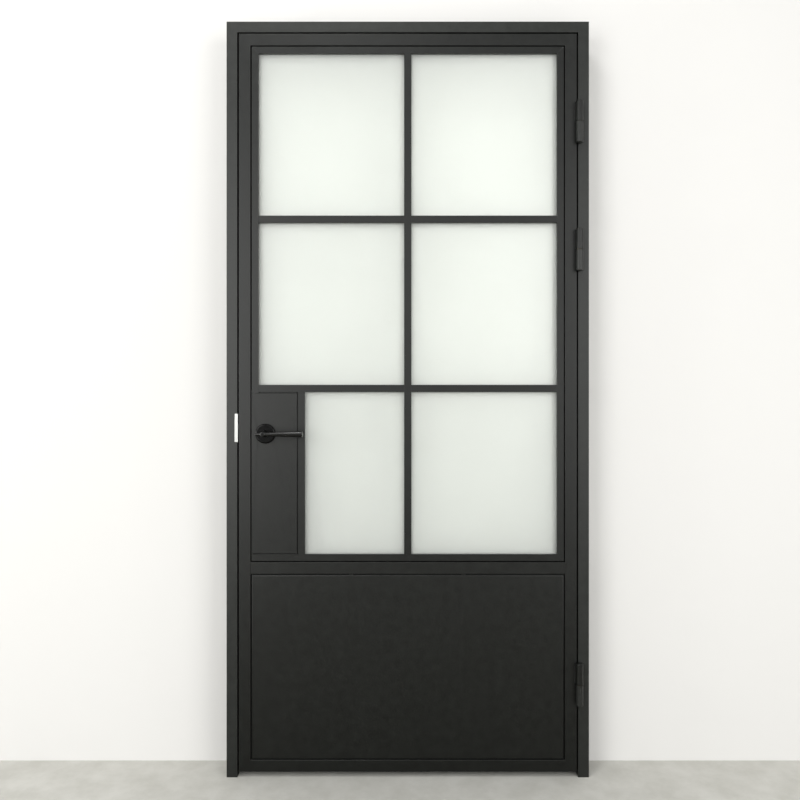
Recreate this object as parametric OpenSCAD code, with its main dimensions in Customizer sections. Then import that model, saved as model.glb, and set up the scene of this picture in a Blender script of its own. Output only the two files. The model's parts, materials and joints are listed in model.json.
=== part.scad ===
// Single-leaf steel and glass door in its own frame.
// The leaf is a welded tube frame with a glazing grid above and a sheet panel below.
// It hangs on three barrel hinges and closes with a sprung lever and latch.
// X runs across the door, -Y faces the room, Z is up from the floor.
// Y = 0 is the middle of the leaf's thickness.

/* [Frame] */
// Overall width of the frame
frame_w = 1000; // [850:5:1150]
// Overall height of the frame
frame_h = 2085; // [1950:5:2300]
// Depth of the jamb and head tubes
frame_depth = 60; // [56:1:90]
// Width of jamb and head seen from the front
jamb_face = 30; // [26:1:45]
// Wall of the frame and leaf tubes
tube_wall = 2; // [1.5:0.25:3]
// Outside corner radius of the frame and leaf tubes
tube_corner = 1.5; // [0.5:0.25:2]
// Clearance between leaf and frame
leaf_gap = 3.5; // [3:0.25:6]
// Clearance between leaf and floor
floor_gap = 15; // [6:1:25]
// How far the rebate stop stands out from the jamb
stop_w = 12; // [11:0.5:20]
// Thickness of the rebate stop
stop_t = 20; // [14:0.5:22]
// Wall of the rebate stop tube
stop_wall = 1.5; // [1:0.25:2.5]
// Width of the seal's foot
seal_w = 7; // [6:0.25:8]
// Radius of the seal's bulb
seal_bulb_r = 2; // [1:0.1:2.4]
// Gap left between the seal's bulb and the closed leaf
seal_clear = 0.3; // [0.2:0.1:0.6]
// Diameter of the wall fixing holes
fixing_d = 9; // [6:0.5:12]
// Distance of the wall fixings behind the frame's front
fixing_y = 26; // [22:1:28]
// Height of the lowest wall fixings
fixing_low = 200; // [120:10:230]
// Distance of the highest wall fixings below the top of the frame
fixing_top = 235; // [180:5:300]

/* [Leaf] */
// Thickness of the leaf
leaf_t = 36; // [34:0.5:40]
// Width of the leaf's stiles and rails seen from the front
stile_face = 33; // [30:0.5:45]
// Width of the shadow groove inside the stiles and rails
groove = 3; // [1:0.25:4]
// Height of the opening that the sheet panel fills
kick_open = 512.5; // [400:2.5:600]
// Thickness of the folded sheet
sheet = 1.5; // [1:0.25:2]
// Distance of the panel's tack welds from the middle of the leaf
tack_x = 155; // [80:5:300]
// Length of a tack weld
tack_l = 11; // [6:0.5:20]

/* [Glazing] */
// Width of the glazing bars
bar_w = 20; // [16:0.5:30]
// Width of the edge bars inside the groove
edge_w = 19; // [16:0.5:30]
// How far the groove beside an edge bar goes on behind its flange
groove_deep = 8; // [2:0.5:12]
// Thickness of a glazing bar's front flange
flange_t = 6; // [4:0.25:8]
// Thickness of a glazing bar's web
web_t = 6; // [4:0.25:8]
// Wall of the hollow edge bars
edge_wall = 2; // [1:0.25:3]
// Thickness of the glass
glass_t = 6; // [4:0.5:8]
// Thickness of the glazing tape in front of the glass
tape_t = 2; // [1:0.25:3]
// How far the glass reaches behind the flanges
glass_bite = 5; // [3:0.25:5.5]
// Wall of the hollow glazing beads
bead_wall = 1.2; // [0.8:0.1:1.5]
// Joint left where two glazing beads meet
bead_joint = 0.2; // [0.1:0.05:0.5]

/* [Lock] */
// Width of the cover beside the lock stile
cover_w = 124.9; // [118:0.1:160]
// Seam under the cover
cover_seam = 2; // [0.8:0.1:3]
// Clearance round fitted sheet pieces and mortises
fit_clear = 0.3; // [0.2:0.05:0.5]
// Distance of the spindle from the leaf's edge
backset = 74; // [72:0.5:80]
// Distance of the spindle below the top of the cover
spindle_drop = 111.5; // [105:0.5:130]
// Height of the latch above the spindle
latch_rise = 16; // [14:0.25:18]
// Travel of the latch
latch_throw = 12; // [9:0.25:12]
// Angle through which the lever turns
lever_turn = 45; // [40:1:50]
// Height of the latch head
latch_h = 22; // [18:0.5:24]
// Thickness of the latch head
latch_t = 12; // [9:0.5:12.5]
// Thickness of the latch tail
tail_t = 6; // [4:0.5:8]
// Height of the lock case
case_h = 152; // [130:2:164]
// Thickness of the lock case
case_t = 17; // [16:0.5:20]
// How far the lock case reaches past the spindle
case_past = 27; // [26:0.5:30]
// Wall of the lock case
case_wall = 2; // [1:0.25:2]
// How far the forend reaches past the lock case at each end
forend_past = 20; // [18:0.5:30]
// Distance of the forend's screws from its ends
forend_screw_in = 8; // [6:0.5:10]
// Thickness of the tabs behind the forend's ends
tab_t = 4; // [3:0.5:6]
// Length of a tab
tab_l = 24; // [20:1:40]
// How far a tab laps behind the forend
tab_lap = 16; // [12:0.5:17]
// How far a tab is wider than the forend on each side
tab_side = 2; // [1:0.5:4]
// Width of the forend
forend_w = 20; // [16:0.5:24]
// Thickness of the forend
forend_t = 3; // [2.5:0.25:4]
// Diameter of the lock's and strike's screws
screw_d = 4; // [3:0.25:5]
// Width of the follower's finger
finger_w = 5; // [4:0.25:6]
// Diameter of the follower's hub
hub_d = 18; // [16:0.25:19]
// Running clearance of turning pieces
run_clear = 0.05; // [0.03:0.01:0.08]
// Height of the strike plate
strike_h = 78; // [60:1:120]
// Width of the strike's lip on the front of the jamb
strike_lip = 7.2; // [5:0.2:12]
// Thickness of the strike plate
strike_t = 1.5; // [1:0.1:1.6]
// Depth of the strike plate in the rebate
strike_depth = 32; // [28:0.5:34]
// Clearance round the latch in the forend and strike
latch_clear = 0.8; // [0.4:0.1:1.5]

/* [Lever] */
// Diameter of the rose
rose_d = 55; // [50:0.5:62]
// Thickness of the rose
rose_t = 8; // [6:0.5:12]
// Rounding of the rose's rim
rose_round = 4; // [1:0.25:5]
// Distance of the lever's bar from the leaf's face
lever_stand = 45; // [40:0.5:60]
// Reach of the lever past its spindle
lever_reach = 108.7; // [90:0.1:135]
// Length of the lever's heel behind its spindle
lever_heel = 21.4; // [14:0.1:26]
// Radius of the lever at its heel
heel_r = 4.75; // [3:0.25:6]
// Radius of the lever at its free end
grip_r = 8; // [6:0.25:10]
// Rounding of the lever's free end
grip_round = 3.5; // [1:0.25:5]
// Radius of the lever's neck
neck_r = 7.5; // [7:0.25:9]
// Radius of the collar at the foot of the neck
collar_r = 9.5; // [9:0.25:11]
// Clearance between collar and rose
collar_clear = 0.4; // [0.3:0.1:0.8]
// Width of the square spindle
spindle_w = 8; // [7:0.5:9]
// Distance of the rose's fixing bolts from the spindle
rose_bolt_x = 19; // [18:0.25:20]
// Diameter of the rose's fixing bolts
rose_bolt_d = 4; // [3:0.25:5]

/* [Hinges] */
// Length of a hinge
hinge_l = 116; // [90:2:160]
// Diameter of a hinge's barrel
barrel_d = 20; // [14:0.5:22]
// Diameter of a hinge's pin
pin_d = 10; // [7:0.25:10.5]
// Thickness of the bearing washer between the knuckles
washer_t = 1.5; // [1:0.25:3]
// How far the washer stays inside the barrel
washer_in = 2; // [0.5:0.25:3]
// Thickness of a knuckle's closed end
knuckle_end = 5; // [3:0.5:8]
// Chamfer on a knuckle's closed end
knuckle_chamfer = 1.5; // [0.5:0.25:2.5]
// Offset of the hinge line from the middle of the gap
hinge_offset = 3.25; // [0:0.25:4]
// Clearance between a barrel and the face behind it
barrel_clear = 0.5; // [0.3:0.1:1]
// Leg of the weld that carries a knuckle
weld_leg = 5; // [2:0.25:8]
// Distance of the top hinge's middle below the top of the frame
hinge_top_drop = 279.5; // [220:0.5:340]
// Distance between the middles of the two upper hinges
hinge_pair = 351.5; // [200:0.5:600]
// Height of the bottom hinge's middle
hinge_bottom_z = 259.5; // [220:0.5:400]

/* [Hidden] */
$fn = 64;

// Overcut that takes a cutting shape past the faces it opens
over = 1;

// Colours of the finishes
black_steel = "#2b2d2b";
etched_glass = [0.90, 0.95, 0.91, 0.45];
rubber_black = "#141414";
bright_steel = "#d4d5d2";
satin_black = "#191919";
bearing_brass = "#b08d4a";

// Planes of the frame
half_w = frame_w / 2;
jamb_in = half_w - jamb_face;
head_in = frame_h - jamb_face;
front = -leaf_t / 2;
back = leaf_t / 2;
frame_back = front + frame_depth;
stop_front = frame_back - stop_t;
stop_in = jamb_in - stop_w;
stop_head_in = head_in - stop_w;
fixing_step = (frame_h - fixing_top - fixing_low) / 3;

// Planes of the leaf
leaf_x = jamb_in - leaf_gap;
leaf_low = floor_gap;
leaf_high = head_in - leaf_gap;
stile_in = leaf_x - stile_face;
kick_low = leaf_low + stile_face;
kick_high = kick_low + kick_open;
light_low = kick_high + stile_face;
light_high = leaf_high - stile_face;

// Sections of the glazing bars
bead_w = (bar_w - web_t) / 2;
edge_web = groove + edge_w - bead_w;
flange_back = front + flange_t;
glass_front = flange_back + tape_t;
glass_back = glass_front + glass_t;
halving_y = (flange_back + back) / 2;

// Edges of the openings between the glazing bars
open_x = stile_in - groove - edge_w;
open_low = light_low + groove + edge_w;
open_high = light_high - groove - edge_w;
pane_h = (open_high - open_low - 2 * bar_w) / 3;
transom_lower_z = open_low + pane_h + bar_w / 2;
transom_upper_z = transom_lower_z + pane_h + bar_w;
row_low = [open_low, transom_lower_z + bar_w / 2, transom_upper_z + bar_w / 2];

// Lock cover and the bar beside it
cover_left = -stile_in + groove;
cover_right = cover_left + cover_w;
lock_open_left = cover_right + groove + edge_w;
cover_low = open_low + cover_seam;
cover_high = transom_lower_z - bar_w / 2 - groove;
cover_seat_low = light_low + edge_web;
cover_seat_high = transom_lower_z - web_t / 2;

// Lock mechanism
spindle_x = -leaf_x + backset;
spindle_z = cover_high - spindle_drop;
latch_z = spindle_z + latch_rise;
finger_r = latch_throw / 2 / sin(lever_turn / 2);
finger_tip_r = latch_rise / 4;
case_left = -leaf_x + forend_t;
case_right = spindle_x + case_past;
case_low = spindle_z + latch_rise - case_h / 2;
case_high = case_low + case_h;
cavity_t = case_t - 2 * case_wall;
cavity_low = spindle_z - hub_d / 2 - 6;
cavity_high = latch_z + latch_h / 2 + 4;
spindle_hole_d = 2 * collar_r + 4;
rose_hole_r = collar_r + collar_clear;
screw_clear_d = screw_d + 0.2;
forend_h = case_h + 2 * forend_past;
forend_screw_z = forend_h / 2 - forend_screw_in;
forend_low = latch_z - forend_h / 2;
forend_high = latch_z + forend_h / 2;

// Hinge line
hinge_x = jamb_in - leaf_gap / 2 + hinge_offset;
hinge_y = front - barrel_clear - barrel_d / 2;
barrel_r = barrel_d / 2;
hinge_top_z = frame_h - hinge_top_drop;
hinge_middle_z = hinge_top_z - hinge_pair;
hinge_heights = [hinge_top_z, hinge_middle_z, hinge_bottom_z];

// Points on an arc
function arc(centre, r, from, to, steps = 8) =
    [for (i = [0:steps]) let (a = from + (to - from) * i / steps)
        [centre[0] + r * cos(a), centre[1] + r * sin(a)]];

// Opening of a light as [left, right, low, high]
function light(column, row) =
    [column == 0 ? (row == 0 ? lock_open_left : -open_x) : bar_w / 2,
     column == 0 ? -bar_w / 2 : open_x,
     row_low[row],
     row_low[row] + pane_h];

// A plain box between two corners
module block(low, high) {
    translate(low) cube(high - low);
}

// Rectangle with round corners, from the origin
module rounded(w, h, r) {
    translate([r, 0]) square([w - 2 * r, h]);
    translate([0, r]) square([w, h - 2 * r]);
    for (x = [r, w - r], y = [r, h - r]) translate([x, y]) circle(r);
}

// Section of a rectangular tube, from the origin
module tube_section(w, h, wall, r) {
    difference() {
        rounded(w, h, r);
        translate([wall, wall]) square([w - 2 * wall, h - 2 * wall]);
    }
}

// Prism with an outline in X and Z, between two depths
module plate_xz(points, y_low, y_high) {
    translate([0, y_high, 0]) rotate([90, 0, 0]) linear_extrude(y_high - y_low) polygon(points);
}

// Lays a section drawn in Y and Z along X
module along_x(x_low, x_high) {
    translate([x_low, 0, 0]) rotate([90, 0, 90]) linear_extrude(x_high - x_low) children();
}

// Keeps what lies between the mitres of an upright; side is -1 on the left and 1 on the right
module mitre_upright(side, x_out, w, z_low, z_high, cut_low, cut_high) {
    low_out = cut_low ? z_low - over : z_low;
    low_in = cut_low ? z_low + w + over : z_low;
    high_out = cut_high ? z_high + over : z_high;
    high_in = cut_high ? z_high - w - over : z_high;
    intersection() {
        children();
        plate_xz([
            [side * (x_out + over), low_out],
            [side * (x_out - w - over), low_in],
            [side * (x_out - w - over), high_in],
            [side * (x_out + over), high_out]
        ], -frame_w, frame_w);
    }
}

// Keeps what lies between the mitres of a rail; up is 1 when its outer edge is the top one
module mitre_rail(up, x_low, x_high, z_out, h, cut_low, cut_high) {
    far = h + over;
    intersection() {
        children();
        plate_xz([
            [cut_low ? x_low - over : x_low, z_out + up * over],
            [cut_low ? x_low + far : x_low, z_out - up * far],
            [cut_high ? x_high - far : x_high, z_out - up * far],
            [cut_high ? x_high + over : x_high, z_out + up * over]
        ], -frame_w, frame_w);
    }
}

// Upright tube with its outer face at x_out
module tube_upright(side, x_out, w, y_low, y_high, z_low, z_high, wall, r) {
    translate([side < 0 ? -x_out : x_out - w, y_low, z_low])
        linear_extrude(z_high - z_low) tube_section(w, y_high - y_low, wall, r);
}

// Level tube between two heights
module tube_level(x_low, x_high, y_low, y_high, z_low, z_high, wall, r) {
    along_x(x_low, x_high) translate([y_low, z_low])
        tube_section(y_high - y_low, z_high - z_low, wall, r);
}

// Jamb tube, mitred at the head
module jamb(side) {
    mitre_upright(side, half_w, jamb_face, 0, frame_h, false, true)
        tube_upright(side, half_w, jamb_face, front, frame_back, 0, frame_h, tube_wall, tube_corner);
}

// Wall fixing holes through a jamb
module fixing_holes(side) {
    for (i = [0:3])
        translate([side * (jamb_in - over), front + fixing_y, fixing_low + i * fixing_step])
            rotate([0, side * 90, 0])
            cylinder(d = fixing_d, h = jamb_face + 2 * over);
}

module jamb_lock() {
    color(black_steel) difference() {
        jamb(-1);
        fixing_holes(-1);
        latch_passage(-jamb_in - tube_wall - over, -jamb_in + over);
        for (z = strike_screw_heights()) translate([-jamb_in - tube_wall - over, 0, z])
            rotate([0, 90, 0]) cylinder(d = screw_clear_d, h = tube_wall + 2 * over);
    }
}

module jamb_hinge() {
    color(black_steel) difference() {
        jamb(1);
        fixing_holes(1);
    }
}

module head_jamb() {
    color(black_steel) mitre_rail(1, -half_w, half_w, frame_h, jamb_face, true, true)
        tube_level(-half_w, half_w, front, frame_back, head_in, frame_h, tube_wall, tube_corner);
}

// Rebate stop tube on a jamb, mitred at the head
module stop_upright(side) {
    color(black_steel) mitre_upright(side, jamb_in, stop_w, 0, head_in, false, true)
        tube_upright(side, jamb_in, stop_w, stop_front, frame_back, 0, head_in, stop_wall, stop_wall / 2);
}

module stop_lock() {
    stop_upright(-1);
}

module stop_hinge() {
    stop_upright(1);
}

module stop_head() {
    color(black_steel) mitre_rail(1, -jamb_in, jamb_in, head_in, stop_w, true, true)
        tube_level(-jamb_in, jamb_in, stop_front, frame_back, stop_head_in, head_in, stop_wall, stop_wall / 2);
}

// Section of the rebate seal: a flat foot with a round bulb towards the leaf
module seal_section() {
    bulb_y = back + seal_clear + seal_bulb_r;
    translate([-seal_w / 2, bulb_y]) square([seal_w, stop_front - bulb_y]);
    intersection() {
        translate([0, bulb_y]) circle(seal_bulb_r);
        translate([-seal_w / 2, back]) square([seal_w, stop_front - back]);
    }
}

// The seal's middle lies on the strip of stop that the leaf covers
seal_in = (stop_w + leaf_gap) / 2;

module seal_upright(side) {
    color(rubber_black) translate([side * (jamb_in - seal_in), 0, 0])
        linear_extrude(head_in - seal_in - seal_w / 2) seal_section();
}

module seal_lock() {
    seal_upright(-1);
}

module seal_hinge() {
    seal_upright(1);
}

module seal_head() {
    reach = jamb_in - seal_in + seal_w / 2;
    color(rubber_black) along_x(-reach, reach) translate([0, head_in - seal_in])
        mirror([1, 0]) rotate(90) seal_section();
}

// Hole for the latch through a plate that faces the leaf's edge
module latch_passage(x_low, x_high) {
    block([x_low, -latch_t / 2 - latch_clear, latch_z - latch_h / 2 - latch_clear],
          [x_high, latch_t / 2 + latch_clear, latch_z + latch_h / 2 + latch_clear]);
}

function strike_screw_heights() =
    [latch_z - strike_h / 2 + 10, latch_z + strike_h / 2 - 10];

// Countersunk screw along X with its head at the origin
module countersunk(length, head_h) {
    rotate([0, -90, 0]) {
        cylinder(r1 = screw_d * 0.95, r2 = screw_d / 2, h = head_h);
        cylinder(d = screw_d, h = length);
    }
}

// Folded strike: one leg in the rebate and a lip round the jamb's front edge
module strike_plate() {
    face = -jamb_in + strike_t;
    low = latch_z - strike_h / 2;
    high = latch_z + strike_h / 2;
    color(bright_steel) difference() {
        union() {
            block([-jamb_in, front - strike_t, low], [face, front + strike_depth, high]);
            block([-jamb_in - strike_lip, front - strike_t, low], [face, front, high]);
        }
        latch_passage(-jamb_in - over, face + over);
        for (z = strike_screw_heights()) translate([face, 0, z]) {
            translate([over, 0, 0]) rotate([0, -90, 0]) cylinder(d = screw_clear_d, h = strike_t + 2 * over);
            rotate([0, -90, 0]) cylinder(r1 = screw_d * 0.95 + 0.1, r2 = screw_clear_d / 2, h = strike_t);
        }
    }
}

module strike_screws() {
    color(bright_steel) for (z = strike_screw_heights())
        translate([-jamb_in + strike_t, 0, z]) countersunk(10, strike_t);
}

// Turned knuckle standing on its closed end, with a ring turned near that end
module knuckle_body(length) {
    ring = 3 * knuckle_chamfer;
    ring_depth = 0.4;
    ring_w = 0.8;
    difference() {
        rotate_extrude() polygon([
            [0, 0],
            [barrel_r - knuckle_chamfer, 0],
            [barrel_r, knuckle_chamfer],
            [barrel_r, ring],
            [barrel_r - ring_depth, ring],
            [barrel_r - ring_depth, ring + ring_w],
            [barrel_r, ring + ring_w],
            [barrel_r, length],
            [0, length]
        ]);
        translate([0, 0, knuckle_end]) cylinder(r = pin_d / 2 + run_clear, h = length);
    }
}

// Weld wedge between a barrel and a face that ends at edge_x; side is -1 towards the leaf
module weld_wedge(side, edge_x, length) {
    inner = barrel_r * 0.9;
    foot = side * max(side * edge_x, 0);
    difference() {
        linear_extrude(length) polygon([
            [foot + side * weld_leg, front - hinge_y],
            [foot, front - hinge_y],
            [side * inner * cos(70), inner * sin(70)],
            [side * inner, 0]
        ]);
        translate([0, 0, -over]) cylinder(r = pin_d / 2 + run_clear, h = length + 2 * over);
    }
}

knuckle_l = (hinge_l - washer_t) / 2;

// Lower half of a hinge, welded to the jamb
module frame_knuckle(z) {
    color(black_steel) translate([hinge_x, hinge_y, z - hinge_l / 2]) {
        knuckle_body(knuckle_l);
        translate([0, 0, knuckle_end]) weld_wedge(1, jamb_in - hinge_x, knuckle_l - knuckle_end);
    }
}

// Upper half of a hinge, welded to the stile
module leaf_knuckle(z) {
    color(black_steel) translate([hinge_x, hinge_y, z + hinge_l / 2]) mirror([0, 0, 1]) {
        knuckle_body(knuckle_l);
        translate([0, 0, knuckle_end]) weld_wedge(-1, leaf_x - hinge_x, knuckle_l - knuckle_end);
    }
}

module hinge_top_frame_knuckle() {
    frame_knuckle(hinge_top_z);
}

module hinge_middle_frame_knuckle() {
    frame_knuckle(hinge_middle_z);
}

module hinge_bottom_frame_knuckle() {
    frame_knuckle(hinge_bottom_z);
}

module hinge_top_leaf_knuckle() {
    leaf_knuckle(hinge_top_z);
}

module hinge_middle_leaf_knuckle() {
    leaf_knuckle(hinge_middle_z);
}

module hinge_bottom_leaf_knuckle() {
    leaf_knuckle(hinge_bottom_z);
}

// Each pin stands on the closed end of its lower knuckle
module hinge_pins() {
    color(bright_steel) for (z = hinge_heights)
        translate([hinge_x, hinge_y, z - hinge_l / 2 + knuckle_end])
            cylinder(d = pin_d, h = hinge_l - 2 * knuckle_end - 1);
}

module hinge_washers() {
    color(bearing_brass) for (z = hinge_heights)
        translate([hinge_x, hinge_y, z - washer_t / 2]) difference() {
            cylinder(r = barrel_r - washer_in, h = washer_t);
            translate([0, 0, -over]) cylinder(r = pin_d / 2 + run_clear, h = washer_t + 2 * over);
        }
}

// Stile tube, mitred at both ends
module stile(side) {
    mitre_upright(side, leaf_x, stile_face, leaf_low, leaf_high, true, true)
        tube_upright(side, leaf_x, stile_face, front, back, leaf_low, leaf_high, tube_wall, tube_corner);
}

// Plate behind the stile's edge that takes a forend screw
module forend_tab(low) {
    block([-leaf_x + tube_wall, -forend_w / 2 - tab_side, low],
          [-leaf_x + forend_t + tab_t, forend_w / 2 + tab_side, low + tab_l]);
}

module stile_lock() {
    color(black_steel) difference() {
        union() {
            stile(-1);
            forend_tab(forend_low - tab_l + tab_lap);
            forend_tab(forend_high - tab_lap);
        }
        block([-leaf_x - over, -forend_w / 2 - fit_clear, forend_low - fit_clear],
              [-leaf_x + forend_t, forend_w / 2 + fit_clear, forend_high + fit_clear]);
        block([-stile_in - tube_wall - over, -case_t / 2 - fit_clear, case_low - fit_clear],
              [-stile_in + over, case_t / 2 + fit_clear, case_high + fit_clear]);
        for (z = [latch_z - forend_screw_z, latch_z + forend_screw_z])
            translate([-leaf_x, 0, z]) rotate([0, 90, 0])
                cylinder(d = screw_clear_d, h = forend_t + tab_t + over);
    }
}

module stile_hinge() {
    color(black_steel) stile(1);
}

module rail_top() {
    color(black_steel) mitre_rail(1, -leaf_x, leaf_x, leaf_high, stile_face, true, true)
        tube_level(-leaf_x, leaf_x, front, back, light_high, leaf_high, tube_wall, tube_corner);
}

module rail_middle() {
    color(black_steel)
        tube_level(-stile_in, stile_in, front, back, kick_high, light_low, tube_wall, tube_corner);
}

module rail_bottom() {
    color(black_steel) mitre_rail(-1, -leaf_x, leaf_x, leaf_low, stile_face, true, true)
        tube_level(-leaf_x, leaf_x, front, back, leaf_low, kick_low, tube_wall, tube_corner);
}

// Section of an edge bar: flange inside the groove, and a hollow web against the tube.
// The web steps back by notch where the groove runs on.
module edge_flange() {
    translate([groove, front]) square([edge_w, flange_t]);
}

module edge_hollow(notch) {
    depth = back - flange_back;
    step = groove + edge_wall;
    translate([0, flange_back]) {
        translate([groove, 0]) square([edge_web - groove, edge_wall]);
        translate([edge_web - edge_wall, 0]) square([edge_wall, depth]);
        translate([0, depth - edge_wall]) square([edge_web, edge_wall]);
        translate([0, notch]) square([edge_wall, depth - notch]);
        translate([0, notch]) square([step, edge_wall]);
        translate([groove, 0]) square([edge_wall, notch + edge_wall]);
    }
}

module edge_section() {
    edge_flange();
    edge_hollow(groove_deep);
}

// Turns a section drawn in X and Y so that along_x can lay it, with its outer edge at z_out
module level_section(z_out, up) {
    translate([0, z_out]) scale_up(up) mirror([1, 0]) rotate(90) children();
}

module scale_up(up) {
    if (up > 0) mirror([0, 1]) children();
    else children();
}

module grid_left() {
    color(black_steel)
        mitre_upright(-1, stile_in, groove + edge_w, cover_high, light_high, false, true)
            translate([-stile_in, 0, 0]) {
                translate([0, 0, cover_high]) linear_extrude(light_high - cover_high) edge_flange();
                translate([0, 0, cover_seat_high]) linear_extrude(light_high - cover_seat_high)
                    edge_hollow(groove_deep);
            }
}

module grid_right() {
    color(black_steel)
        mitre_upright(1, stile_in, groove + edge_w, light_low, light_high, true, true)
            translate([stile_in, 0, light_low]) linear_extrude(light_high - light_low)
                mirror([1, 0]) edge_section();
}

module grid_top() {
    color(black_steel)
        mitre_rail(1, -stile_in, stile_in, light_high, groove + edge_w, true, true)
            along_x(-stile_in, stile_in) level_section(light_high, 1) edge_section();
}

module grid_bottom() {
    color(black_steel)
        mitre_rail(-1, -stile_in, stile_in, light_low, groove + edge_w, false, true) {
            union() {
                along_x(cover_left, stile_in) level_section(light_low, -1) edge_flange();
                along_x(-stile_in, stile_in) level_section(light_low, -1) edge_hollow(groove_deep);
            }
        }
}

module mullion() {
    web_low = light_low + edge_web;
    web_high = light_high - edge_web;
    color(black_steel) difference() {
        union() {
            block([-bar_w / 2, front, open_low], [bar_w / 2, flange_back, open_high]);
            block([-web_t / 2, flange_back, web_low], [web_t / 2, back, web_high]);
        }
        for (z = [transom_lower_z, transom_upper_z])
            block([-web_t, halving_y, z - web_t / 2], [web_t, back + over, z + web_t / 2]);
    }
}

// Transom halved over the mullion: its flange stops each side and its web passes behind
module transom(z) {
    web_x = stile_in - edge_web;
    color(black_steel) difference() {
        union() {
            block([-open_x, front, z - bar_w / 2], [open_x, flange_back, z + bar_w / 2]);
            block([-web_x, flange_back, z - web_t / 2], [web_x, back, z + web_t / 2]);
        }
        block([-bar_w / 2, front - over, z - bar_w], [bar_w / 2, flange_back, z + bar_w]);
        block([-web_t / 2, front - over, z - bar_w], [web_t / 2, halving_y, z + bar_w]);
    }
}

module transom_upper() {
    transom(transom_upper_z);
}

module transom_lower() {
    transom(transom_lower_z);
}

module lock_mullion() {
    color(black_steel) translate([cover_right, 0, 0]) {
        translate([0, 0, open_low]) linear_extrude(pane_h) edge_flange();
        translate([0, 0, cover_seat_low]) linear_extrude(cover_seat_high - cover_seat_low)
            difference() {
                translate([0, flange_back]) square([edge_web, back - flange_back]);
                translate([edge_wall, flange_back + edge_wall])
                    square([edge_web - 2 * edge_wall, back - flange_back - 2 * edge_wall]);
            }
    }
}

// Glass held behind the flanges of one light
module pane(column, row) {
    o = light(column, row);
    color(etched_glass)
        block([o[0] - glass_bite, glass_front, o[2] - glass_bite],
              [o[1] + glass_bite, glass_back, o[3] + glass_bite]);
}

module pane_top_left() {
    pane(0, 2);
}

module pane_top_right() {
    pane(1, 2);
}

module pane_middle_left() {
    pane(0, 1);
}

module pane_middle_right() {
    pane(1, 1);
}

module pane_bottom_left() {
    pane(0, 0);
}

module pane_bottom_right() {
    pane(1, 0);
}

// Four hollow beads behind one light: the uprights stand between the level ones
module beads(column, row) {
    o = light(column, row);
    left = o[0] - bead_w;
    right = o[1] + bead_w;
    r = bead_wall / 2;
    color(black_steel) {
        for (x = [left, o[1]])
            translate([x, glass_back, o[2] + bead_joint]) linear_extrude(pane_h - 2 * bead_joint)
                tube_section(bead_w, back - glass_back, bead_wall, r);
        for (z = [o[2] - bead_w, o[3]])
            tube_level(left, right, glass_back, back, z, z + bead_w, bead_wall, r);
    }
}

module beads_top_left() {
    beads(0, 2);
}

module beads_top_right() {
    beads(1, 2);
}

module beads_middle_left() {
    beads(0, 1);
}

module beads_middle_right() {
    beads(1, 1);
}

module beads_bottom_left() {
    beads(0, 0);
}

module beads_bottom_right() {
    beads(1, 0);
}

// One ring of tape between the flanges and the glass of each light
module glazing_tape() {
    inset = 0.5;
    color(rubber_black) for (column = [0, 1], row = [0, 1, 2]) let (o = light(column, row))
        difference() {
            block([o[0] - glass_bite, flange_back, o[2] - glass_bite],
                  [o[1] + glass_bite, glass_front, o[3] + glass_bite]);
            block([o[0] - inset, flange_back - over, o[2] - inset],
                  [o[1] + inset, glass_front + over, o[3] + inset]);
        }
}

// Folded pan: a face, a return all round, and lips behind the groove that seat on the tubes.
// face and seat are [left, right, low, high].
module folded_pan(face, seat) {
    lip_back = flange_back + sheet;
    block([face[0], front, face[2]], [face[1], front + sheet, face[3]]);
    difference() {
        union() {
            block([face[0], front, face[2]], [face[1], lip_back, face[3]]);
            block([seat[0], flange_back, seat[2]], [seat[1], lip_back, seat[3]]);
        }
        block([face[0] + sheet, front + sheet, face[2] + sheet],
              [face[1] - sheet, lip_back + over, face[3] - sheet]);
    }
}

// Holes for the spindle and the rose's bolts through a plate of the lock
module lock_holes(y_low, y_high, middle_d) {
    translate([spindle_x, y_high, spindle_z]) rotate([90, 0, 0]) {
        cylinder(d = middle_d, h = y_high - y_low);
        for (x = [-rose_bolt_x, rose_bolt_x]) translate([x, 0, 0])
            cylinder(d = rose_bolt_d + 1, h = y_high - y_low);
    }
}

module lock_cover_front() {
    color(black_steel) difference() {
        folded_pan([cover_left, cover_right, cover_low, cover_high],
                   [-stile_in, cover_right, cover_seat_low, cover_seat_high]);
        lock_holes(front - over, front + sheet + over, spindle_hole_d);
    }
}

// Rear cover: a tray that closes on the front cover's lips
module lock_cover_back() {
    left = -stile_in + fit_clear;
    right = cover_right - fit_clear;
    low = cover_seat_low + fit_clear;
    high = cover_seat_high - fit_clear;
    rim = flange_back + sheet;
    color(black_steel) difference() {
        block([left, rim, low], [right, back, high]);
        block([left + sheet, rim - over, low + sheet], [right - sheet, back - sheet, high - sheet]);
        lock_holes(back - sheet - over, back + over, spindle_hole_d);
        block([left - over, -case_t / 2 - fit_clear, case_low - fit_clear],
              [left + sheet + over, case_t / 2 + fit_clear, case_high + fit_clear]);
    }
}

// Sheet panel below the glass, one folded pan on each side of the leaf
module kick_pan() {
    folded_pan([-stile_in + groove, stile_in - groove, kick_low + groove, kick_high - groove],
               [-stile_in, stile_in, kick_low, kick_high]);
}

module kick_panel_front() {
    color(black_steel) {
        kick_pan();
        for (x = [-tack_x, tack_x])
            block([x - tack_l / 2, front + 0.4, kick_high - groove - sheet],
                  [x + tack_l / 2, flange_back, kick_high]);
    }
}

module kick_panel_back() {
    color(black_steel) mirror([0, 1, 0]) kick_pan();
}

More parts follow.
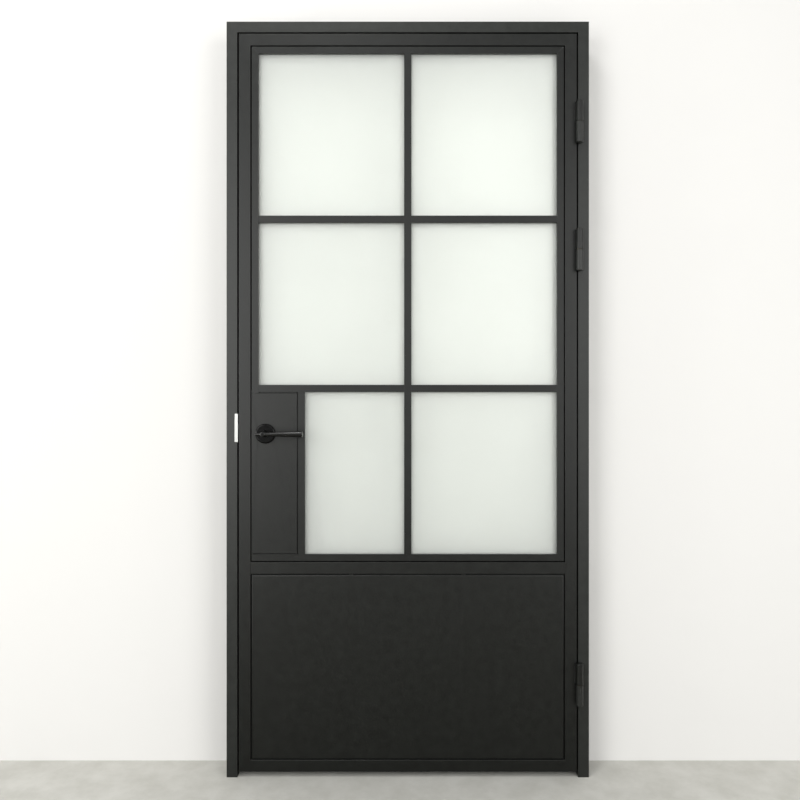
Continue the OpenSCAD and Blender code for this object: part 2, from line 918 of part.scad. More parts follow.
// Lock case: a sheet box round the follower and the latch tail
module lock_case() {
    color(bright_steel) difference() {
        block([case_left, -case_t / 2, case_low], [case_right, case_t / 2, case_high]);
        block([case_left + case_wall, -cavity_t / 2, cavity_low],
              [case_right - case_wall, cavity_t / 2, cavity_high]);
        latch_passage(case_left - over, case_left + case_wall + over);
        lock_holes(-case_t / 2 - over, case_t / 2 + over, hub_d + 2 * run_clear);
    }
}

module forend() {
    color(bright_steel) difference() {
        block([-leaf_x, -forend_w / 2, forend_low], [-leaf_x + forend_t, forend_w / 2, forend_high]);
        latch_passage(-leaf_x - over, -leaf_x + forend_t + over);
        for (z = [latch_z - forend_screw_z, latch_z + forend_screw_z])
            translate([-leaf_x, 0, z]) rotate([0, 90, 0]) {
                translate([0, 0, -over]) cylinder(d = screw_clear_d, h = forend_t + 2 * over);
                cylinder(r1 = screw_d * 0.95 + 0.1, r2 = screw_clear_d / 2, h = screw_d / 2);
            }
    }
}

module forend_screws() {
    color(bright_steel) for (z = [latch_z - forend_screw_z, latch_z + forend_screw_z])
        translate([-leaf_x, 0, z]) rotate([0, 180, 0]) countersunk(10, screw_d / 2);
}

// Follower: a hub on the spindle with a finger in the latch tail's slot
module follower() {
    tip = [-finger_r * sin(lever_turn / 2), finger_r * cos(lever_turn / 2)];
    color(bright_steel) translate([spindle_x, 0, spindle_z]) difference() {
        union() {
            rotate([90, 0, 0]) cylinder(d = hub_d, h = case_t, center = true);
            rotate([90, 0, 0]) linear_extrude(tail_t, center = true) {
                translate(tip) circle(finger_tip_r);
                rotate(lever_turn / 2) translate([-finger_w / 2, 0]) square([finger_w, finger_r]);
            }
        }
        cube([spindle_w + 2 * run_clear, case_t + 2 * over, spindle_w + 2 * run_clear], center = true);
    }
}

// Latch: a head bevelled on its closing side, and a tail with a slot for the finger
module latch_bolt() {
    slot_x = spindle_x - latch_throw / 2;
    slot_w = 2 * finger_tip_r + 0.4;
    tail_low = spindle_z + latch_rise * 0.75;
    head_low = latch_z - latch_h / 2;
    tip_x = -leaf_x - latch_throw;
    half = latch_t / 2;
    head_back = case_left + latch_throw / 2;
    color(bright_steel) difference() {
        union() {
            translate([0, 0, head_low]) linear_extrude(latch_h) polygon([
                [tip_x, -half],
                [head_back, -half],
                [head_back, half],
                [-leaf_x - 1, half],
                [tip_x, -half / 2]
            ]);
            block([head_back - over, -tail_t / 2, tail_low],
                  [slot_x + slot_w / 2 + 6, tail_t / 2, latch_z + latch_h / 2]);
        }
        block([slot_x - slot_w / 2, -tail_t, tail_low - over],
              [slot_x + slot_w / 2, tail_t, spindle_z + finger_r + finger_tip_r + 1]);
    }
}

// Rose: a turned cap with a round rim, seated on the cover
module rose() {
    color(satin_black) translate([spindle_x, front, spindle_z]) rotate([90, 0, 0]) difference() {
        rotate_extrude() polygon(concat(
            [[rose_hole_r, 0], [rose_d / 2, 0]],
            arc([rose_d / 2 - rose_round, rose_t - rose_round], rose_round, 0, 90),
            [[rose_hole_r, rose_t]]
        ));
        for (x = [-rose_bolt_x, rose_bolt_x]) translate([x, 0, -over])
            cylinder(d = rose_bolt_d + 0.2, h = rose_t * 0.6 + over);
    }
}

module rose_front() {
    rose();
}

module rose_back() {
    mirror([0, 1, 0]) rose();
}

module rose_bolts() {
    reach = leaf_t + rose_t;
    color(bright_steel) for (x = [-rose_bolt_x, rose_bolt_x])
        translate([spindle_x + x, 0, spindle_z]) rotate([90, 0, 0])
            cylinder(d = rose_bolt_d, h = reach, center = true);
}

// Lever: a neck that comes out through the rose, and a tapered round bar across its end
module lever() {
    socket = lever_stand - heel_r;
    cap = neck_r * 0.4;
    blend_from = 222; // degrees
    color(satin_black) translate([spindle_x, front, spindle_z]) difference() {
        union() {
            rotate([90, 0, 0]) rotate_extrude() polygon(concat(
                [[0, 2], [collar_r, 2], [collar_r, rose_t + 2]],
                arc([collar_r + 3, rose_t + 5], 3 + collar_r - neck_r, blend_from, 180, 6),
                arc([neck_r - cap, lever_stand + heel_r + 1 - cap], cap, 0, 90),
                [[0, lever_stand + heel_r + 1]]
            ));
            translate([0, -lever_stand, 0]) rotate([0, 90, 0]) rotate_extrude() polygon(concat(
                arc([0, heel_r - lever_heel], heel_r, -90, 0),
                arc([grip_r - grip_round, lever_reach - grip_round], grip_round, 0, 90),
                [[0, lever_reach]]
            ));
        }
        rotate([90, 0, 0]) linear_extrude(socket)
            square(spindle_w + 2 * run_clear, center = true);
    }
}

module lever_front() {
    lever();
}

module lever_back() {
    mirror([0, 1, 0]) lever();
}

module spindle() {
    reach = leaf_t + 2 * (lever_stand - heel_r - 2);
    color(bright_steel) translate([spindle_x, 0, spindle_z])
        cube([spindle_w, reach, spindle_w], center = true);
}

jamb_lock();
jamb_hinge();
head_jamb();
stop_lock();
stop_hinge();
stop_head();
seal_lock();
seal_hinge();
seal_head();
strike_plate();
strike_screws();
hinge_top_frame_knuckle();
hinge_middle_frame_knuckle();
hinge_bottom_frame_knuckle();
hinge_pins();
hinge_washers();
stile_lock();
stile_hinge();
rail_top();
rail_middle();
rail_bottom();
grid_left();
grid_right();
grid_top();
grid_bottom();
mullion();
transom_upper();
transom_lower();
lock_mullion();
pane_top_left();
pane_top_right();
pane_middle_left();
pane_middle_right();
pane_bottom_left();
pane_bottom_right();
beads_top_left();
beads_top_right();
beads_middle_left();
beads_middle_right();
beads_bottom_left();
beads_bottom_right();
glazing_tape();
lock_cover_front();
lock_cover_back();
lock_case();
forend();
forend_screws();
kick_panel_front();
kick_panel_back();
hinge_top_leaf_knuckle();
hinge_middle_leaf_knuckle();
hinge_bottom_leaf_knuckle();
rose_front();
rose_back();
rose_bolts();
lever_front();
lever_back();
spindle();
follower();
latch_bolt();
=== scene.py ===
import json
import math
import bpy
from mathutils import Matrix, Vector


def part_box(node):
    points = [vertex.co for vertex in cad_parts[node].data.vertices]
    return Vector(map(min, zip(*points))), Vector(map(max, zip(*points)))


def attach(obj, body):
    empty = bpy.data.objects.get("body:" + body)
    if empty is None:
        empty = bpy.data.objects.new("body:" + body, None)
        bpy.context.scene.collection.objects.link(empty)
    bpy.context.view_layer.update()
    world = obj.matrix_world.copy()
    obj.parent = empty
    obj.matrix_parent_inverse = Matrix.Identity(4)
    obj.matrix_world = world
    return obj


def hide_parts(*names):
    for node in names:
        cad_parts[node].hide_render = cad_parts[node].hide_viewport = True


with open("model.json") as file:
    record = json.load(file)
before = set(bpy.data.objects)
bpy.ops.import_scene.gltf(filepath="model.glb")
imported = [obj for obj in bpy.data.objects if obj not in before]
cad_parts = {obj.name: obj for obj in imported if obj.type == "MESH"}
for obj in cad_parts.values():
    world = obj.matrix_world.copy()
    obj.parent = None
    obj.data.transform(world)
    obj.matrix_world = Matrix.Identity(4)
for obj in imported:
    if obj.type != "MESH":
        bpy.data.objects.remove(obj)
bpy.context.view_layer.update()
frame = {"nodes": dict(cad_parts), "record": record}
nodes = frame["nodes"]
print("frame loaded with", len(nodes), "nodes")

# camera, level and square on, a little left of the middle
cameraPlan = {
    "place": (-0.0214, -2.168, 1.0408),
    "turn": (90, 0, 0),
    "lens": 35.08,  # mm on a 36 mm sensor
    "sensor": 36.0,
}


def addCamera(plan):
    bpy.ops.object.select_all(action="DESELECT")
    turn = [math.radians(angle) for angle in plan["turn"]]
    bpy.ops.object.camera_add(location=plan["place"], rotation=turn)
    camera = bpy.context.object
    camera.data.lens = plan["lens"]
    camera.data.sensor_width = plan["sensor"]
    bpy.context.scene.camera = camera
    print("camera set at", plan["place"])


addCamera(cameraPlan)


def toLinear(hexColour):  # sRGB hex to linear
    parts = [int(hexColour[i:i + 2], 16) / 255 for i in (1, 3, 5)]
    parts = [p / 12.92 if p <= 0.04045 else ((p + 0.055) / 1.055) ** 2.4 for p in parts]
    return (*parts, 1.0)


def addNode(tree, kind, values=None, links=None, **settings):
    node = tree.nodes.new(kind)
    for name, value in settings.items():
        setattr(node, name, value)
    for socket, value in (values or {}).items():
        node.inputs[socket].default_value = value
    for socket, source in (links or {}).items():
        tree.links.new(source, node.inputs[socket])
    return node


def newMaterial(name):
    material = bpy.data.materials.new(name)
    material.use_nodes = True
    material.node_tree.nodes.clear()
    return material, material.node_tree


def perMetre(millimetres):
    return 1000 / millimetres  # texture scale for a pattern of that size


# powder coat, fine texture, baked matt black: even dull sheen broken by a fine grain
# the real grain is about 0.4 mm, drawn coarser here so that it shows as faint speckle
leafCoat = {
    "dark": "#050605", "light": "#121512",
    "grainMm": 2.8, "patchMm": 22, "share": 0.4, "stretch": (1, 1, 1),
    "roughLow": 0.32, "roughHigh": 0.44, "bump": 0.16, "metallic": 0.0, "specular": 0.52,
}
# the same coat on the frame, painted a shade greyer than on the leaf: painted light that makes the frame
# read brighter, as if it caught more light
frameCoatPaintedLight = {**leafCoat, "dark": "#1a1c1a", "light": "#262826"}
# the same coat on the sheet panels, thin and dry deep in their grooves, which read as dull dark lines
# a point is in a groove where it sees little within the reach, by the shares given here
panelCoat = {
    **leafCoat,
    "roughInGroove": 1.0, "grooveReach": 0.01, "seesInGroove": 0.3, "seesInOpen": 0.6, "seeingRays": 6,
}
# extruded rubber: soft dull black with a faint bloom
sealRubber = {
    "dark": "#0d0d0d", "light": "#181817",
    "grainMm": 0.8, "patchMm": 24, "share": 0.7, "stretch": (1, 1, 1),
    "roughLow": 0.62, "roughHigh": 0.8, "bump": 0.12, "metallic": 0.0, "specular": 0.4,
}
# stainless steel sheet, ground along its length: pale streaks with a soft stretched gleam
groundSteel = {
    "dark": "#b4b5b3", "light": "#d8d9d7",
    "grainMm": 0.6, "patchMm": 9, "share": 0.35, "stretch": (1, 1, 0.06),
    "roughLow": 0.28, "roughHigh": 0.42, "bump": 0.05, "metallic": 1.0, "specular": 0.5,
}
# lacquered zinc casting, satin black: deep black that keeps narrow clear highlights
satinLacquer = {
    "dark": "#030303", "light": "#060606",
    "grainMm": 1.1, "patchMm": 16, "share": 0.6, "stretch": (1, 1, 1),
    "roughLow": 0.10, "roughHigh": 0.16, "bump": 0.02, "metallic": 0.0, "specular": 0.26,
}
# the same lacquer on the levers, rubbed glossier by hands: brighter, sharper highlights
leverLacquer = {**satinLacquer, "roughLow": 0.06, "roughHigh": 0.10, "specular": 0.65}
# turned brass, oiled and tarnished: dark brown metal that gleams only a little
turnedBrass = {
    "dark": "#2c2518", "light": "#4a3f28",
    "grainMm": 0.5, "patchMm": 5, "share": 0.6, "stretch": (1, 1, 0.2),
    "roughLow": 0.3, "roughHigh": 0.45, "bump": 0.04, "metallic": 1.0, "specular": 0.5,
}

# shared by these finishes: noise is spread to the full range from the one that it mostly stays in
noisePlan = {"grainDetail": 2.0, "patchDetail": 3.0, "low": 0.3, "high": 0.7, "bumpHeight": 0.0004}


def makeFinish(name, plan):
    material, tree = newMaterial(name)
    place = addNode(tree, "ShaderNodeTexCoord")
    laid = addNode(tree, "ShaderNodeMapping", {"Scale": plan["stretch"]},
                   {"Vector": place.outputs["Object"]})
    grain = addNode(tree, "ShaderNodeTexNoise",
                    {"Scale": perMetre(plan["grainMm"]), "Detail": noisePlan["grainDetail"]},
                    {"Vector": laid.outputs["Vector"]})
    patch = addNode(tree, "ShaderNodeTexNoise",
                    {"Scale": perMetre(plan["patchMm"]), "Detail": noisePlan["patchDetail"]},
                    {"Vector": laid.outputs["Vector"]})
    blend = addNode(tree, "ShaderNodeMix", {"Factor": plan["share"]},
                    {"A": grain.outputs["Fac"], "B": patch.outputs["Fac"]}, data_type="FLOAT")
    spread = addNode(tree, "ShaderNodeMapRange",
                     {"From Min": noisePlan["low"], "From Max": noisePlan["high"]},
                     {"Value": blend.outputs["Result"]})
    colour = addNode(tree, "ShaderNodeMix", None, {"Factor": spread.outputs["Result"]}, data_type="RGBA")
    colour.inputs["A"].default_value = toLinear(plan["dark"])
    colour.inputs["B"].default_value = toLinear(plan["light"])
    rough = addNode(tree, "ShaderNodeMapRange", {"To Min": plan["roughLow"], "To Max": plan["roughHigh"]},
                    {"Value": spread.outputs["Result"]})
    if "roughInGroove" in plan:
        sees = addNode(tree, "ShaderNodeAmbientOcclusion", {"Distance": plan["grooveReach"]},
                       samples=plan["seeingRays"])
        inOpen = addNode(tree, "ShaderNodeMapRange",
                         {"From Min": plan["seesInGroove"], "From Max": plan["seesInOpen"]},
                         {"Value": sees.outputs["AO"]})
        rough = addNode(tree, "ShaderNodeMix", {"A": plan["roughInGroove"]},
                        {"Factor": inOpen.outputs["Result"], "B": rough.outputs["Result"]},
                        data_type="FLOAT")
    bump = addNode(tree, "ShaderNodeBump",
                   {"Strength": plan["bump"], "Distance": noisePlan["bumpHeight"]},
                   {"Height": grain.outputs["Fac"]})
    shader = addNode(tree, "ShaderNodeBsdfPrincipled",
                     {"Metallic": plan["metallic"], "Specular IOR Level": plan["specular"]},
                     {"Base Color": colour.outputs["Result"], "Roughness": rough.outputs["Result"],
                      "Normal": bump.outputs["Normal"]})
    addNode(tree, "ShaderNodeOutputMaterial", None, {"Surface": shader.outputs["BSDF"]})
    return material


# float glass with satin-etched faces: milky and faintly green, it blurs all that stands behind it
etchedGlass = {
    "dark": "#d3d5d3", "light": "#d7d9d7", "shade": "#f3f5f2",
    "cloudMm": 140, "cloudDetail": 2.0, "roughLow": 0.72, "roughHigh": 0.78, "through": 0.7, "ior": 1.52,
}


def makeEtchedGlass(plan):
    material, tree = newMaterial("floatGlassEtched")
    place = addNode(tree, "ShaderNodeTexCoord")
    cloud = addNode(tree, "ShaderNodeTexNoise",
                    {"Scale": perMetre(plan["cloudMm"]), "Detail": plan["cloudDetail"]},
                    {"Vector": place.outputs["Object"]})
    colour = addNode(tree, "ShaderNodeMix", None, {"Factor": cloud.outputs["Fac"]}, data_type="RGBA")
    colour.inputs["A"].default_value = toLinear(plan["dark"])
    colour.inputs["B"].default_value = toLinear(plan["light"])
    rough = addNode(tree, "ShaderNodeMapRange", {"To Min": plan["roughLow"], "To Max": plan["roughHigh"]},
                    {"Value": cloud.outputs["Fac"]})
    shader = addNode(tree, "ShaderNodeBsdfPrincipled",
                     {"IOR": plan["ior"], "Transmission Weight": plan["through"]},
                     {"Base Color": colour.outputs["Result"], "Roughness": rough.outputs["Result"]})
    clear = addNode(tree, "ShaderNodeBsdfTransparent", {"Color": toLinear(plan["shade"])})
    path = addNode(tree, "ShaderNodeLightPath")  # lamps shine through to the wall
    mix = addNode(tree, "ShaderNodeMixShader", None,
                  {0: path.outputs["Is Shadow Ray"], 1: shader.outputs["BSDF"], 2: clear.outputs["BSDF"]})
    addNode(tree, "ShaderNodeOutputMaterial", None, {"Surface": mix.outputs["Shader"]})
    return material


finishes = {
    "black_powder_coat": makeFinish("powderCoatLeaf", leafCoat),
    "etched_glass": makeEtchedGlass(etchedGlass),
    "black_rubber": makeFinish("rubberSeal", sealRubber),
    "bright_steel": makeFinish("stainlessGround", groundSteel),
    "satin_black": makeFinish("lacquerSatinBlack", satinLacquer),
    "bearing_brass": makeFinish("brassTurned", turnedBrass),
}
coatOnFramePaintedLight = makeFinish("powderCoatFramePaintedLight", frameCoatPaintedLight)
coatOnPanels = makeFinish("powderCoatPanels", panelCoat)
lacquerOnLevers = makeFinish("lacquerRubbedBlack", leverLacquer)
slotOf = {part["node"]: part["material_slot"] for part in frame["record"]["subparts"]}
onFrame = set(frame["record"]["behaviour"]["bodies"]["frame"])
for name, node in nodes.items():
    node.data.materials.clear()
    finish = finishes[slotOf[name]]
    # frame parts take the greyer copy of the coat, painted light
    if name in onFrame and slotOf[name] == "black_powder_coat":
        finish = coatOnFramePaintedLight
    if name.startswith("lever_"):
        finish = lacquerOnLevers
    node.data.materials.append(finish)
print("finishes set")

# folded sheet and drawn bars have no knife edges
edgePlan = {
    "lock_cover_front": 0.0007, "lock_cover_back": 0.0007,
    "mullion": 0.0004, "transom_upper": 0.0004, "transom_lower": 0.0004, "lock_mullion": 0.0004,
    "grid_left": 0.0004, "grid_right": 0.0004, "grid_top": 0.0004, "grid_bottom": 0.0004,
    "strike_plate": 0.0004, "forend": 0.0003,
}
edgeShape = {"weldGap": 0.00001, "steps": 2, "sharpFrom": 40}


def softenEdges(node, width, shape):
    weld = node.modifiers.new("weld", "WELD")
    weld.merge_threshold = shape["weldGap"]
    bevel = node.modifiers.new("softEdge", "BEVEL")
    bevel.width = width
    bevel.segments = shape["steps"]
    bevel.limit_method = "ANGLE"
    bevel.angle_limit = math.radians(shape["sharpFrom"])


for name, width in edgePlan.items():
    softenEdges(nodes[name], width, edgeShape)
print("edges softened on", len(edgePlan), "nodes")


def selectFaces(piece, wanted):
    bpy.ops.object.mode_set(mode="EDIT")
    bpy.ops.mesh.select_mode(type="FACE")
    bpy.ops.mesh.select_all(action="DESELECT")
    bpy.ops.object.mode_set(mode="OBJECT")
    for face in piece.data.polygons:
        face.select = wanted(face)
    bpy.ops.object.mode_set(mode="EDIT")


def copyTo(piece, turn, place):
    bpy.ops.object.select_all(action="DESELECT")
    piece.select_set(True)
    bpy.context.view_layer.objects.active = piece
    bpy.ops.object.duplicate(linked=False)
    copy = bpy.context.object
    copy.rotation_euler = [math.radians(angle) for angle in turn]
    copy.location = place
    return copy


def joinPieces(copies, name):
    bpy.ops.object.select_all(action="DESELECT")
    for copy in copies:
        copy.select_set(True)
    bpy.context.view_layer.objects.active = copies[0]
    bpy.ops.object.transform_apply(location=True, rotation=True, scale=True)
    bpy.ops.object.join()
    joined = bpy.context.object
    joined.name = name
    joined.data.name = name
    return joined


def finishPiece(piece, slotName, body):
    piece.data.materials.clear()
    piece.data.materials.append(finishes[slotName])
    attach(piece, body)
    print(piece.name, "rides on", body, "with", len(piece.data.polygons), "faces")


def removePiece(piece):
    bpy.ops.object.select_all(action="DESELECT")
    piece.select_set(True)
    bpy.ops.object.delete()


# low screw head with a round socket, drawn facing +Z with its seat at the origin
screwHead = {
    "radius": 0.0026, "proud": 0.0007, "seat": 0.0004,
    "rim": 0.0004, "socket": 0.0013, "deep": 0.0006,
    "sides": 24, "rimSteps": 2, "facesUp": 0.99,
}


def modelScrewHead(plan):
    bpy.ops.object.select_all(action="DESELECT")
    high = plan["proud"] + plan["seat"]
    bpy.ops.mesh.primitive_cylinder_add(vertices=plan["sides"], radius=plan["radius"], depth=high,
                                        location=(0, 0, high / 2 - plan["seat"]))
    head = bpy.context.object
    bpy.ops.object.transform_apply(location=True, rotation=True, scale=True)
    selectFaces(head, lambda face: face.normal.z > plan["facesUp"])
    bpy.ops.mesh.bevel(offset=plan["rim"], segments=plan["rimSteps"], affect="EDGES")
    selectFaces(head, lambda face: face.normal.z > plan["facesUp"])
    bpy.ops.mesh.inset(thickness=plan["radius"] - plan["rim"] - plan["socket"])
    bpy.ops.mesh.extrude_region_move(TRANSFORM_OT_translate={"value": (0, 0, -plan["deep"])})
    bpy.ops.object.mode_set(mode="OBJECT")
    return head


# screws that hold the glazing beads, two in each bead on the rear
beadScrews = {"fromEnd": 0.075, "beadWidth": 0.007, "turn": (-90, 0, 0)}


def addBeadScrews(plan, head):
    copies = []
    half = plan["beadWidth"] / 2
    for name in nodes:
        if not name.startswith("beads_"):
            continue
        low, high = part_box(name)
        left, right = low[0], high[0]
        for x in (left + plan["fromEnd"], right - plan["fromEnd"]):
            for z in (low[2] + half, high[2] - half):
                copies.append(copyTo(head, plan["turn"], (x, high[1], z)))
        for z in (low[2] + plan["fromEnd"], high[2] - plan["fromEnd"]):
            for x in (left + half, right - half):
                copies.append(copyTo(head, plan["turn"], (x, high[1], z)))
    finishPiece(joinPieces(copies, "beadScrews"), "satin_black", "leaf")


# set screws that clamp each lever's neck on the spindle, seen from below
setScrews = {"neckRadius": 0.0075, "outward": 0.012, "turn": (180, 0, 0)}


def addSetScrews(plan, head):
    low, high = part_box("spindle")
    x = (low[0] + high[0]) / 2
    z = (low[2] + high[2]) / 2 - plan["neckRadius"]
    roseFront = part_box("rose_front")[0][1]
    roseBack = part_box("rose_back")[1][1]
    copies = [copyTo(head, plan["turn"], (x, y, z))
              for y in (roseFront - plan["outward"], roseBack + plan["outward"])]
    finishPiece(joinPieces(copies, "setScrews"), "satin_black", "handle")


# rippled weld along the foot of each hinge knuckle
weldPlan = {
    "thick": 0.0019, "out": 0.0017, "ripple": 0.0014, "step": 0.0019,
    "inset": 0.003, "fromPin": 0.0055, "turn": (0, 0, 0),
}


def modelWeld(plan, length):
    bpy.ops.object.select_all(action="DESELECT")
    bpy.ops.mesh.primitive_ico_sphere_add(subdivisions=2, radius=1, location=(0, 0, 0))
    weld = bpy.context.object
    weld.scale = (plan["thick"], plan["out"], plan["ripple"])
    bpy.ops.object.transform_apply(location=False, rotation=False, scale=True)
    row = weld.modifiers.new("row", "ARRAY")
    row.count = int(length / plan["step"])
    row.use_relative_offset = False
    row.use_constant_offset = True
    row.constant_offset_displace = (0, 0, plan["step"])
    bpy.ops.object.modifier_apply(modifier="row")
    bpy.ops.object.shade_smooth()
    return weld


def addHingeWelds(plan):
    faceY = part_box("stile_hinge")[0][1]
    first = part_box("hinge_top_leaf_knuckle")
    weld = modelWeld(plan, first[1][2] - first[0][2] - 2 * plan["inset"])
    onLeaf = []
    onJamb = []
    for place in ("top", "middle", "bottom"):
        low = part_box(f"hinge_{place}_leaf_knuckle")[0]
        onLeaf.append(copyTo(weld, plan["turn"], (low[0], faceY, low[2] + plan["inset"])))
        low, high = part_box(f"hinge_{place}_frame_knuckle")
        middle = (low[0] + high[0]) / 2
        spot = (middle + plan["fromPin"], faceY, low[2] + plan["inset"])
        onJamb.append(copyTo(weld, plan["turn"], spot))
    removePiece(weld)
    finishPiece(joinPieces(onLeaf, "hingeWeldsLeaf"), "black_powder_coat", "leaf")
    jambWelds = joinPieces(onJamb, "hingeWeldsJamb")
    finishPiece(jambWelds, "black_powder_coat", "frame")
    # the jamb welds take the frame's greyer coat, painted light
    jambWelds.data.materials[0] = coatOnFramePaintedLight


# folded sheet panel: a rounded bend along all four edges, and lips behind the groove
kickSheet = {
    "groove": 0.003, "sheet": 0.0015, "bend": 0.0023, "bendSteps": 5,
    "flatRim": 0.0005, "smoothTo": 35, "facesBack": 0.9, "near": 0.00001,
}


def addKickSheet(plan, nodeName, pieceName):
    low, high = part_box(nodeName)
    middle = [(a + b) / 2 for a, b in zip(low, high)]
    side = -1 if middle[1] < 0 else 1
    faceY, lipBack = (low[1], high[1]) if side < 0 else (high[1], low[1])
    lipFront = lipBack + side * plan["sheet"]
    wide, tall = high[0] - low[0], high[2] - low[2]
    faceWide, faceTall = wide - 2 * plan["groove"], tall - 2 * plan["groove"]
    bpy.ops.object.select_all(action="DESELECT")
    bpy.ops.mesh.primitive_cube_add(size=1, location=(middle[0], (faceY + lipFront) / 2, middle[2]))
    panel = bpy.context.object
    panel.name = pieceName
    panel.data.name = pieceName
    panel.scale = (faceWide, abs(faceY - lipFront), faceTall)
    bpy.ops.object.transform_apply(location=True, rotation=True, scale=True)
    selectFaces(panel, lambda face: -face.normal.y * side > plan["facesBack"])
    bpy.ops.mesh.extrude_region_move()
    bpy.ops.transform.resize(value=(wide / faceWide, 1, tall / faceTall), center_override=middle)
    bpy.ops.mesh.extrude_region_move(TRANSFORM_OT_translate={"value": (0, -side * plan["sheet"], 0)})
    selectFaces(panel, lambda face: abs(face.center.y - faceY) < plan["near"])
    bpy.ops.mesh.bevel(offset=plan["bend"], segments=plan["bendSteps"], affect="EDGES")
    selectFaces(panel, lambda face: abs(face.center.y - faceY) < plan["near"])
    bpy.ops.mesh.inset(thickness=plan["flatRim"])  # keeps the large face flat beside the smooth bend
    bpy.ops.object.mode_set(mode="OBJECT")
    bpy.ops.object.shade_smooth_by_angle(angle=math.radians(plan["smoothTo"]))
    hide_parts(nodeName)
    finishPiece(panel, "black_powder_coat", "leaf")
    panel.data.materials[0] = coatOnPanels


# short tack welds in the groove above the sheet panel
tackPlan = {
    "thick": 0.0018, "out": 0.0016, "ripple": 0.0016, "step": 0.0022,
    "length": 0.0115, "fromMiddle": 0.155, "turn": (0, 90, 0),
}


def addTackWelds(plan):
    low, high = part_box("kick_panel_front")
    tack = modelWeld(plan, plan["length"])
    y = low[1] + plan["out"]
    z = high[2] - kickSheet["groove"] / 2
    copies = [copyTo(tack, plan["turn"], (x - plan["length"] / 2, y, z))
              for x in (-plan["fromMiddle"], plan["fromMiddle"])]
    removePiece(tack)
    finishPiece(joinPieces(copies, "tackWelds"), "black_powder_coat", "leaf")


addKickSheet(kickSheet, "kick_panel_front", "kickSheetFront")
addKickSheet(kickSheet, "kick_panel_back", "kickSheetBack")
addTackWelds(tackPlan)
head = modelScrewHead(screwHead)
addBeadScrews(beadScrews, head)
addSetScrews(setScrews, head)
removePiece(head)
addHingeWelds(weldPlan)

# white wall close behind the door, seen from its front only, and a pale concrete floor that shows a
# darker colour in reflections, painted shade in what the door mirrors
stagePlan = {
    "wallY": 0.083,
    "wallHalf": 4.0,
    "wallHigh": 4.0,
    "wall": "#e4e3e2",
    "floorDark": "#c0bfb9",
    "floorLight": "#cdccc7",
    # painted shade: the floor's colour in reflections only, darker, so the door's coat mirrors a dimmer
    # floor
    "floorInGlossPaintedShade": "#85837c",
    "floorHalf": 6.0,
    "cloudMm": 90, "cloudDetail": 6.0, "cloudRough": 0.65, "cloudLow": 0.35, "cloudHigh": 0.65,
}


def makeWall(plan):
    material, tree = newMaterial("wallWhite")
    plaster = addNode(tree, "ShaderNodeBsdfDiffuse", {"Color": toLinear(plan["wall"])})
    clear = addNode(tree, "ShaderNodeBsdfTransparent")
    facing = addNode(tree, "ShaderNodeNewGeometry")
    path = addNode(tree, "ShaderNodeLightPath")
    hidden = addNode(tree, "ShaderNodeMath", None,
                     {0: path.outputs["Transparent Depth"], 1: facing.outputs["Backfacing"]},
                     operation="MAXIMUM")
    mix = addNode(tree, "ShaderNodeMixShader", None,
                  {0: hidden.outputs["Value"], 1: plaster.outputs["BSDF"], 2: clear.outputs["BSDF"]})
    addNode(tree, "ShaderNodeOutputMaterial", None, {"Surface": mix.outputs["Shader"]})
    bpy.ops.object.select_all(action="DESELECT")
    bpy.ops.mesh.primitive_plane_add(size=2, location=(0, plan["wallY"], plan["wallHigh"] / 2),
                                     rotation=(math.radians(90), 0, 0))
    wall = bpy.context.object
    wall.name = "wall"
    wall.scale = (plan["wallHalf"], plan["wallHigh"] / 2, 1)
    wall.data.materials.append(material)
    return wall


def makeFloor(plan):
    material, tree = newMaterial("concretePale")
    place = addNode(tree, "ShaderNodeTexCoord")
    cloud = addNode(tree, "ShaderNodeTexNoise",
                    {"Scale": perMetre(plan["cloudMm"]), "Detail": plan["cloudDetail"],
                     "Roughness": plan["cloudRough"]},
                    {"Vector": place.outputs["Object"]})
    spread = addNode(tree, "ShaderNodeMapRange",
                     {"From Min": plan["cloudLow"], "From Max": plan["cloudHigh"]},
                     {"Value": cloud.outputs["Fac"]})
    colour = addNode(tree, "ShaderNodeMix", None, {"Factor": spread.outputs["Result"]}, data_type="RGBA")
    colour.inputs["A"].default_value = toLinear(plan["floorDark"])
    colour.inputs["B"].default_value = toLinear(plan["floorLight"])
    # glossy rays see the darker floor colour: painted shade in reflections
    path = addNode(tree, "ShaderNodeLightPath")
    seen = addNode(tree, "ShaderNodeMix", None,
                   {"Factor": path.outputs["Is Glossy Ray"], "A": colour.outputs["Result"]},
                   data_type="RGBA")
    seen.inputs["B"].default_value = toLinear(plan["floorInGlossPaintedShade"])
    shader = addNode(tree, "ShaderNodeBsdfDiffuse", None, {"Color": seen.outputs["Result"]})
    addNode(tree, "ShaderNodeOutputMaterial", None, {"Surface": shader.outputs["BSDF"]})
    bpy.ops.object.select_all(action="DESELECT")
    bpy.ops.mesh.primitive_plane_add(size=2 * plan["floorHalf"], location=(0, 0, 0))
    floor = bpy.context.object
    floor.name = "floor"
    floor.data.materials.append(material)
    return floor


makeWall(stagePlan)
makeFloor(stagePlan)

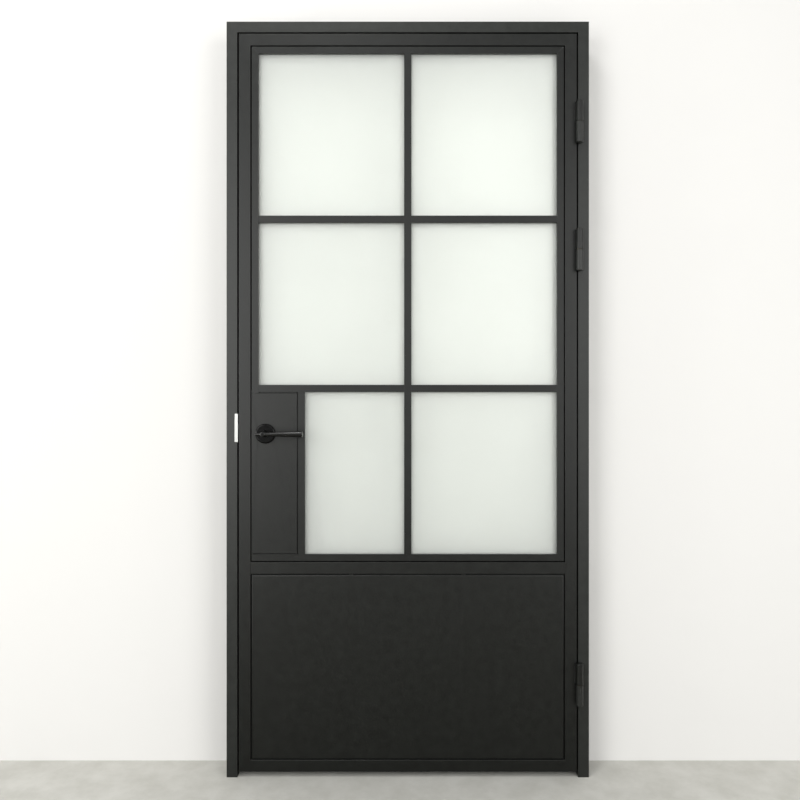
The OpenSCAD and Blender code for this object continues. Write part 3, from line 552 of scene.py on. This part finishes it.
# soft studio light, a trace warm; the rear lamps' left and right are as seen from behind
lampTint = "#fffffd"
lightPlan = {
    "left": {"place": (-1.95, -3.25, 1.5), "aim": (0, 0, 1.0), "size": (1.6, 2.7), "power": 50},
    "right": {"place": (2.6, -3.4, 1.55), "aim": (0, 0, 0.9), "size": (2.0, 2.8), "power": 58},
    "front": {"place": (0, -4.4, 2.2), "aim": (0, 0, 1.3), "size": (1.4, 2.6), "power": 12},
    "low": {"place": (0, -3.2, 0.45), "aim": (0, 0, 0.8), "size": (2.6, 0.5), "power": 0.8},
    "top": {"place": (-0.5, -1.3, 3.5), "aim": (-0.2, -0.4, 0), "size": (0.9, 0.5), "power": 18},
    "sideLeft": {"place": (-3.0, -1.0, 1.2), "aim": (-0.4, 0, 1.0), "size": (0.4, 0.4), "power": 14},
    "sideRight": {"place": (2.8, -1.2, 1.1), "aim": (0.4, 0, 0.8), "size": (0.4, 0.6), "power": 4},
    "rearLeft": {"place": (2.2, 3.2, 1.9), "aim": (0, 0, 1.1), "size": (2.0, 2.4), "power": 70},
    "rearRight": {"place": (-2.2, 3.2, 1.9), "aim": (0, 0, 1.1), "size": (2.0, 2.4), "power": 50},
}


def addLamp(name, plan):
    bpy.ops.object.select_all(action="DESELECT")
    bpy.ops.object.light_add(type="AREA", location=plan["place"])
    lamp = bpy.context.object
    lamp.name = name
    lamp.data.shape = "RECTANGLE"
    lamp.data.size, lamp.data.size_y = plan["size"]
    lamp.data.energy = plan["power"]
    lamp.data.color = toLinear(lampTint)[:3]
    aim = [a - p for a, p in zip(plan["aim"], plan["place"])]
    flat = math.hypot(aim[0], aim[1])
    lamp.rotation_euler = (math.atan2(flat, -aim[2]), 0, math.atan2(-aim[0], aim[1]))


for lampName, lampPlan in lightPlan.items():
    addLamp(lampName, lampPlan)

# white room, plain white where it is seen, and dimmer as a light and in reflections
worldPlan = {"room": 0.55, "inGloss": 0.41, "seen": 1.0}


def makeWorld(plan):
    world = bpy.data.worlds.new("whiteRoom")
    bpy.context.scene.world = world
    world.use_nodes = True
    tree = world.node_tree
    tree.nodes.clear()
    path = addNode(tree, "ShaderNodeLightPath")
    dim = addNode(tree, "ShaderNodeMix", {"A": plan["room"], "B": plan["inGloss"]},
                  {"Factor": path.outputs["Is Glossy Ray"]}, data_type="FLOAT")
    level = addNode(tree, "ShaderNodeMix", {"B": plan["seen"]},
                    {"Factor": path.outputs["Is Camera Ray"], "A": dim.outputs["Result"]},
                    data_type="FLOAT")
    light = addNode(tree, "ShaderNodeBackground", {"Color": toLinear(lampTint)},
                    {"Strength": level.outputs["Result"]})
    addNode(tree, "ShaderNodeOutputWorld", None, {"Surface": light.outputs["Background"]})


makeWorld(worldPlan)
bpy.context.scene.view_settings.view_transform = "Standard"
print("stage and light set")
